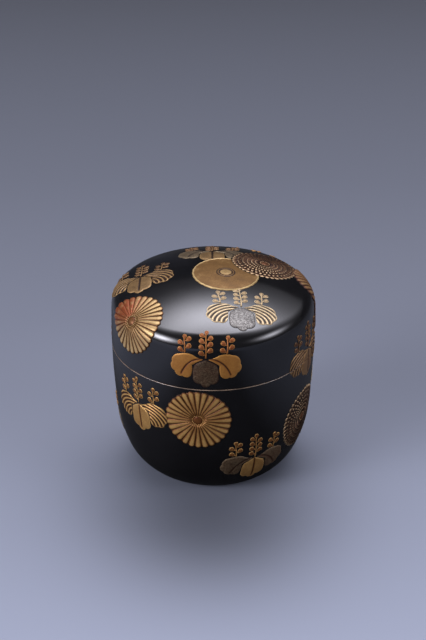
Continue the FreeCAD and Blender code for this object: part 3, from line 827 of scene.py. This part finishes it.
class Shading:
    """Short ways to add and join the nodes of a material or world."""

    def __init__(self, node_tree):
        self.nodes = node_tree.nodes
        self.links = node_tree.links

    def new(self, kind):
        return self.nodes.new("ShaderNode" + kind)

    def join(self, value, socket):
        """Set a socket to a colour or a number, or link an output to it."""
        if isinstance(value, tuple):
            socket.default_value = (*value, 1)
        elif isinstance(value, float):
            socket.default_value = value
        else:
            self.links.new(value, socket)

    def maths(self, operation, *values, clamp=False):
        node = self.new("Math")
        node.operation = operation
        node.use_clamp = clamp
        for value, socket in zip(values, node.inputs):
            self.join(value, socket)
        return node.outputs[0]

    def falloff(self, one, two):
        """A smooth fall from 1 as two offsets grow from 0."""
        square = self.maths("ADD", self.maths("MULTIPLY", one, one), self.maths("MULTIPLY", two, two))
        return self.maths("EXPONENT", self.maths("MULTIPLY", square, -1.0))

    def mix(self, factor, one, two):
        node = self.new("Mix")
        node.data_type = "RGBA"
        for value, socket in ((factor, node.inputs[0]), (one, node.inputs[6]), (two, node.inputs[7])):
            self.join(value, socket)
        return node.outputs[2]

    def ramp(self, source, stops):
        node = self.new("ValToRGB")
        ends = node.color_ramp.elements
        for element, (position, colour) in ((ends[0], stops[0]), (ends[1], stops[-1])):
            element.position = position
            element.color = (*colour, 1)
        for position, colour in stops[1:-1]:
            ends.new(position).color = (*colour, 1)
        self.links.new(source, node.inputs[0])
        return node.outputs[0]

    def noise(self, scale, detail, rough=0.55):
        node = self.new("TexNoise")
        node.inputs["Scale"].default_value = scale
        node.inputs["Detail"].default_value = detail
        node.inputs["Roughness"].default_value = rough
        self.links.new(self.new("TexCoord").outputs["Object"], node.inputs["Vector"])
        return node.outputs["Fac"]

    def axes(self, kind="Object"):
        """The three parts of a coordinate."""
        split = self.new("SeparateXYZ")
        self.links.new(self.new("TexCoord").outputs[kind], split.inputs[0])
        return split.outputs

    def attribute(self, label):
        node = self.new("Attribute")
        node.attribute_name = label
        return node.outputs["Fac"]

    def ray(self, kind):
        return self.new("LightPath").outputs[kind]

    def bump(self, shader, source, strength, distance):
        node = self.new("Bump")
        node.inputs["Strength"].default_value = strength
        node.inputs["Distance"].default_value = distance
        self.links.new(source, node.inputs["Height"])
        self.links.new(node.outputs[0], shader.inputs["Normal"])


def new_material(name):
    material = bpy.data.materials.new(name)
    material.use_nodes = True
    material.node_tree.nodes.clear()
    tree = Shading(material.node_tree)
    out = tree.new("OutputMaterial")
    shader = tree.new("BsdfPrincipled")
    tree.links.new(shader.outputs[0], out.inputs[0])
    return material, tree, shader


def grey(stops):
    """The same stops as greys."""
    return [(place, (level,) * 3) for place, level in stops]


def powder_material(name, deep, mid, bright, roughness=0.42, metallic=0.5, speckle=0.4):
    """Metal powder on raised lacquer: painted highlight on ridges and shade in valleys, red where worn."""
    material, tree, shader = new_material(name)
    cloud = tree.maths("MULTIPLY", tree.noise(scale=260.0, detail=5.0), 0.5)
    dust = tree.maths("MULTIPLY", tree.noise(scale=1900.0, detail=2.0, rough=0.7), speckle)
    # The light attribute: painted highlight and shade on the relief, with its drawn lines.
    level = tree.maths("ADD", tree.attribute("light"), tree.maths("ADD", cloud, dust))
    level = tree.maths("SUBTRACT", level, 0.25 + 0.5 * speckle)
    colour = tree.ramp(level, [(0.0, deep), (0.45, mid), (0.95, bright)])
    worn = tree.maths("MULTIPLY", tree.attribute("wear"), tree.noise(scale=420.0, detail=6.0))
    worn = tree.maths("MULTIPLY", worn, 1.5, clamp=True)
    tree.join(tree.mix(worn, colour, WORN_RED), shader.inputs["Base Color"])
    grain = tree.noise(scale=5200.0, detail=3.0, rough=0.7)
    uneven = grey([(0.3, roughness - 0.07), (0.7, roughness + 0.1)])
    tree.join(tree.ramp(grain, uneven), shader.inputs["Roughness"])
    shader.inputs["Metallic"].default_value = metallic
    tree.bump(shader, grain, strength=0.35, distance=0.00006)
    return material


def lacquer_material(name, roughness, tint, ripple):
    """Deep black lacquer with a faint ripple and slightly uneven colour and polish."""
    material, tree, shader = new_material(name)
    paler = tuple(1.7 * c for c in tint)
    shade = tree.ramp(tree.noise(scale=55.0, detail=4.0), [(0.3, tint), (0.7, paler)])
    tree.join(shade, shader.inputs["Base Color"])
    uneven = grey([(0.3, roughness - 0.02), (0.7, roughness + 0.035)])
    polish = tree.ramp(tree.noise(scale=120.0, detail=6.0, rough=0.65), uneven)
    tree.join(polish, shader.inputs["Roughness"])
    tree.bump(shader, tree.noise(scale=34.0, detail=1.5), strength=ripple, distance=0.0008)
    shader.inputs["IOR"].default_value = LACQUER_IOR
    return material


def seam_band(material):
    """Paint the lacquer a pale brown along the seam, in patches."""
    tree = Shading(material.node_tree)
    shader = next(n for n in tree.nodes if n.type == "BSDF_PRINCIPLED")
    height = tree.axes()[2]
    above = tree.maths("GREATER_THAN", height, (SEAM_HEIGHT - BROWN_BELOW_SEAM) * MM)
    below = tree.maths("LESS_THAN", height, (SEAM_HEIGHT + BROWN_ABOVE_SEAM) * MM)
    band = tree.maths("MULTIPLY", above, below)
    patch = tree.ramp(tree.noise(scale=190.0, detail=5.0), grey([(0.3, 0.25), (0.62, 1.0)]))
    amount = tree.maths("MULTIPLY", band, patch, clamp=True)
    base = shader.inputs["Base Color"].links[0].from_socket
    tree.join(tree.mix(amount, base, SEAM_BROWN), shader.inputs["Base Color"])


def wood_material(name):
    material, tree, shader = new_material(name)
    stops = [(0.3, (0.30, 0.17, 0.08)), (0.7, (0.55, 0.36, 0.2))]
    tree.join(tree.ramp(tree.noise(scale=90.0, detail=8.0), stops), shader.inputs["Base Color"])
    shader.inputs["Roughness"].default_value = 0.6
    return material


OUTER = lacquer_material("outer_lacquer", roughness=0.12, tint=(0.0035, 0.0033, 0.0036), ripple=0.12)
INNER = lacquer_material("inner_lacquer", roughness=0.3, tint=(0.008, 0.0065, 0.006), ripple=0.2)
BASE = lacquer_material("base_lacquer", roughness=0.34, tint=(0.009, 0.008, 0.0075), ripple=0.25)
WOOD = wood_material("turned_wood")
GOLD = powder_material(
    "gold_powder", deep=(0.02, 0.008, 0.003), mid=(0.23, 0.092, 0.019), bright=(0.66, 0.40, 0.13),
    metallic=0.55)
OCHRE = powder_material(
    "ochre_powder", deep=(0.02, 0.007, 0.002), mid=(0.27, 0.092, 0.013), bright=(0.52, 0.25, 0.05),
    roughness=0.44, metallic=0.45)
BRONZE = powder_material(
    "bronze_powder", deep=(0.007, 0.004, 0.003), mid=(0.062, 0.032, 0.012), bright=(0.33, 0.205, 0.08),
    roughness=0.44, speckle=0.5)
YELLOW = powder_material(
    "yellow_gold_powder", deep=(0.02, 0.01, 0.004), mid=(0.20, 0.104, 0.027), bright=(0.60, 0.43, 0.19),
    speckle=0.45)
PALE = powder_material(
    "pale_gold_powder", deep=(0.004, 0.003, 0.003), mid=(0.40, 0.28, 0.14), bright=(0.62, 0.48, 0.28),
    metallic=0.4, speckle=0.2)
SCALE = powder_material(
    "scale_powder", deep=(0.010, 0.005, 0.003), mid=(0.13, 0.064, 0.025), bright=(0.52, 0.37, 0.21),
    metallic=0.7, speckle=0.2)
SILVER = powder_material(
    "silver_powder", deep=(0.01, 0.009, 0.008), mid=(0.12, 0.113, 0.102), bright=(0.44, 0.425, 0.39),
    roughness=0.5, metallic=0.35, speckle=1.7)
DULL = powder_material(
    "dull_silver", deep=(0.008, 0.006, 0.005), mid=(0.052, 0.038, 0.021), bright=(0.19, 0.147, 0.085),
    roughness=0.48, metallic=0.6, speckle=1.6)
seam_band(OUTER)


def dress(piece, material, half, slot, *nodes):
    """Give a piece its material, its body and the CAD nodes it stands for."""
    piece.data.materials.clear()
    piece.data.materials.append(material)
    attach(piece, half)
    if nodes:
        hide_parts(*nodes)


def turned_pieces():
    dress(lathe("lid_coat", lid_outer_run()), OUTER, "lid", "black_lacquer", "lid_outer_lacquer")
    body_coat = lathe("body_coat", body_outer_run(), closed=True)
    dress(body_coat, OUTER, "body", "black_lacquer", "body_outer_lacquer")
    dress(lathe("lid_inside", lid_lining_run()), INNER, "lid", "inner_lacquer", "lid_lining")
    dress(lathe("body_inside", body_lining_run()), INNER, "body", "inner_lacquer", "body_lining")
    dress(lathe("foot_coat", base_run()), BASE, "body", "base_lacquer", "base_lacquer")
    for name in ("body_core", "lid_core"):
        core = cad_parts[name]
        core.data.materials.clear()
        core.data.materials.append(WOOD)


ROSETTE_ANCHORS = {}


def place_relief(relief, node, anchor, under, half, halves, material, slot):
    """Build one motif's relief on a half, cut at the seam where it has two."""
    covers = [ROSETTE_ANCHORS[name] for name in under]
    piece = relief.build(node + "_relief", anchor, covers)
    if len(halves) > 1:
        trim_at_seam(piece, half)
    dress(piece, material, half, slot, node)


def rosette(place, halves, relief, under=(), gold=GOLD, **where):
    """Set a rosette; under names the rosettes that lie over it."""
    anchor = Anchor(**where)
    ROSETTE_ANCHORS[place] = anchor
    for half in halves:
        node = "%s_%s_chrysanthemum" % (half, place)
        place_relief(relief, node, anchor, under, half, halves, gold, "gold_maki_e")


def sprig(place, halves, styles, seed, wear=0.1, bud_wear=0.25, under=(), gold=GOLD, silver=DULL, **where):
    """Set a sprig, its gold and silver as two pieces; under names the rosettes over it."""
    anchor = Anchor(**where)
    metals = {"gold": gold, "silver": silver}
    sets = sprig_parts(seed, styles, wear, bud_wear)
    for half in halves:
        for metal, relief in sets.items():
            if relief.uv:
                node = "%s_%s_paulownia_%s" % (half, place, metal)
                place_relief(relief, node, anchor, under, half, halves, metals[metal], metal + "_maki_e")


LID = ("lid",)
BODY = ("body",)
BOTH = ("lid", "body")
LINED = {"left": "lined", "right": "lined"}
SILVER_SIDES = {"left": "silver", "right": "silver"}
SILVER_HEART = {"centre": "silver"}
PLAIN_HEART = {"centre": "plain"}


def rosettes():
    """All rosettes; those that lie over others come first."""
    rosette("top_layered", LID, layered_rosette(seed=1), gold=SCALE, azimuth=122.0, from_apex=22.5)
    rosette("top_disc", LID, disc_rosette(), under=("top_layered",), gold=YELLOW, azimuth=92.0, from_apex=4.6)
    rosette("left_shoulder", LID, fluted_rosette(seed=3, wear=0.12, redder=166.0), gold=YELLOW,
            azimuth=-54.0, above_seam=19.0)
    rosette("right_shoulder", LID, fluted_rosette(seed=4, wear=0.2), gold=BRONZE,
            azimuth=103.0, above_seam=12.75)
    rosette("rear_seam", BOTH, layered_rosette(seed=5), gold=SCALE, azimuth=-155.0, above_seam=3.0)
    rosette("left_seam", BOTH, fluted_rosette(seed=6), azimuth=-111.0, above_seam=0.5)
    rosette("front", BODY, fluted_rosette(seed=7), azimuth=-8.4, above_seam=-12.9)
    rosette("right", BODY, layered_rosette(seed=8), gold=SCALE, azimuth=64.5, above_seam=-24.2)
    rosette("rear", BODY, fluted_rosette(seed=9), azimuth=150.0, above_seam=-25.0)
    rosette("rear_left", BODY, layered_rosette(seed=10), gold=SCALE, azimuth=-138.0, above_seam=-27.0)


def sprigs():
    sprig("top_back", LID, SILVER_SIDES, seed=11, wear=0.05, bud_wear=0.2, under=("top_layered", "top_disc"),
          gold=BRONZE, azimuth=180.8, from_apex=21.7, twist=-180.8)
    sprig("top_left", LID, LINED, seed=12, wear=0.06, bud_wear=0.15, gold=BRONZE,
          azimuth=-99.5, from_apex=27.0, twist=97.0)
    sprig("top_front", LID, {**LINED, **PLAIN_HEART}, seed=13, wear=0.02, bud_wear=0.05, gold=PALE,
          silver=SILVER, azimuth=26.2, from_apex=22.75, twist=-22.6)
    sprig("front", LID, PLAIN_HEART, seed=14, wear=0.12, bud_wear=0.6, gold=OCHRE,
          azimuth=-3.9, above_seam=12.65)
    sprig("right_seam", BOTH, LINED, seed=15, wear=0.2, bud_wear=0.3, under=("right_shoulder",), gold=BRONZE,
          azimuth=66.9, above_seam=4.4)
    sprig("rear", LID, {**LINED, **SILVER_HEART}, seed=16, azimuth=152.0, above_seam=12.4)
    sprig("left", BODY, LINED, seed=17, wear=0.12, bud_wear=0.1, azimuth=-46.4, above_seam=-12.4, twist=4.0)
    sprig("low_front", BODY, SILVER_SIDES, seed=18, wear=0.2, azimuth=25.8, above_seam=-31.8)
    sprig("right_rear", BODY, LINED, seed=19, gold=PALE, azimuth=108.0, above_seam=-14.0, twist=-6.0)
    sprig("rear", BODY, SILVER_HEART, seed=20, azimuth=-175.0, above_seam=-15.5, twist=5.0)
    sprig("low_left", BODY, SILVER_SIDES, seed=21, azimuth=-97.0, above_seam=-29.5)


def paper_material():
    """Blue-grey paper, painted darker towards the back and with a painted shadow in front of the foot;
    polished pieces see it with a painted dark middle."""
    material, tree, shader = new_material("sweep_paper")
    east, north, _ = tree.axes()
    # Painted fall-off of light towards the back.
    back = tree.maths("MULTIPLY_ADD", north, PAPER_PER_METRE, RAMP_MIDDLE)
    shade = tree.ramp(back, [(at, tuple(level * c for c in PAPER_TINT)) for at, level in PAPER_STOPS])
    # Painted shadow in front of the foot.
    aside = tree.maths("DIVIDE", east, SHADOW_REACH)
    ahead = tree.maths("DIVIDE", tree.maths("ADD", north, SHADOW_FORWARD), SHADOW_REACH)
    depth = tree.maths("MULTIPLY", tree.falloff(aside, ahead), SHADOW_DEPTH)
    shade = tree.mix(depth, shade, BLACK)
    # Painted shade in the middle of the paper, seen only by polished pieces in their reflections.
    across = tree.maths("MULTIPLY_ADD", east, REFLECTED_SHADE_PER_METRE, RAMP_MIDDLE)
    dimmed = tree.mix(tree.ramp(across, grey(REFLECTED_SHADE_STOPS)), BLACK, shade)
    seen = tree.mix(tree.ray("Is Glossy Ray"), shade, dimmed)
    tree.join(seen, shader.inputs["Base Color"])
    shader.inputs["Roughness"].default_value = 0.9
    return material


def soft_box(tree, bearing, rise, box):
    """A soft-edged lamp in the sky, falling off by bearing and by rise."""
    wide = tree.maths("SUBTRACT", bearing, math.radians(box.bearing))
    wide = tree.maths("DIVIDE", wide, math.radians(box.half_width))
    tall = tree.maths("SUBTRACT", rise, math.radians(box.rise))
    tall = tree.maths("DIVIDE", tall, math.radians(box.half_height))
    return tree.maths("MULTIPLY", tree.falloff(wide, tall), box.strength)


def sky():
    """Soft boxes: one wide above and behind, a weak fill beside it, a strong one left, a weaker one right."""
    world = bpy.data.worlds.new("studio")
    world.use_nodes = True
    tree = Shading(world.node_tree)
    ground = tree.nodes["Background"]
    east, north, up = tree.axes("Generated")
    rise = tree.maths("ARCSINE", up)
    from_front = tree.maths("ARCTAN2", east, tree.maths("MULTIPLY", north, -1.0))
    from_back = tree.maths("ARCTAN2", east, north)
    total = ROOM_LIGHT
    for bearing, box in ((from_back, OVERHEAD_BOX), (from_back, FILL_BOX),
                         (from_front, LEFT_BOX), (from_front, RIGHT_BOX)):
        total = tree.maths("ADD", total, soft_box(tree, bearing, rise, box))
    seen = tree.ray("Is Camera Ray")
    tree.join(tree.mix(seen, LAMP_COLOUR, BACKDROP), ground.inputs["Color"])
    to_plain = tree.maths("MULTIPLY", seen, tree.maths("SUBTRACT", 1.0, total))
    tree.join(tree.maths("ADD", total, to_plain), ground.inputs["Strength"])
    bpy.context.scene.world = world


def studio():
    """A paper sweep that bends up behind the caddy."""
    bend = np.linspace(0.05, math.pi / 2, 24)
    run = [(SWEEP_FRONT, 0.0), (SWEEP_BEND, 0.0)]
    run += [(SWEEP_BEND + SWEEP_RADIUS * math.sin(a), SWEEP_RADIUS * (1 - math.cos(a))) for a in bend]
    run.append((SWEEP_BEND + SWEEP_RADIUS, SWEEP_TOP))
    verts = [(x, y, z) for y, z in run for x in (-SWEEP_HALF_WIDTH, SWEEP_HALF_WIDTH)]
    faces = [(2 * i, 2 * i + 1, 2 * i + 3, 2 * i + 2) for i in range(len(run) - 1)]
    sweep = add_mesh("sweep", verts, faces)
    sweep.data.materials.append(paper_material())
    sky()


def camera():
    """The photograph's view, from the front and above."""
    data = bpy.data.cameras.new("camera")
    data.sensor_width = 36.0
    data.lens = 108.01
    data.clip_start = 0.05
    data.clip_end = 20.0
    cam = bpy.data.objects.new("camera", data)
    aim = Vector((0, 0, CAMERA_TARGET_HEIGHT))
    lift = math.radians(CAMERA_ELEVATION)
    cam.location = aim + CAMERA_DISTANCE * Vector((0, -math.cos(lift), math.sin(lift)))
    cam.rotation_mode = "QUATERNION"
    cam.rotation_quaternion = (aim - cam.location).to_track_quat("-Z", "Y")
    bpy.context.scene.collection.objects.link(cam)
    bpy.context.scene.camera = cam


turned_pieces()
rosettes()
sprigs()
studio()
camera()
bpy.context.scene.view_settings.view_transform = "Standard"
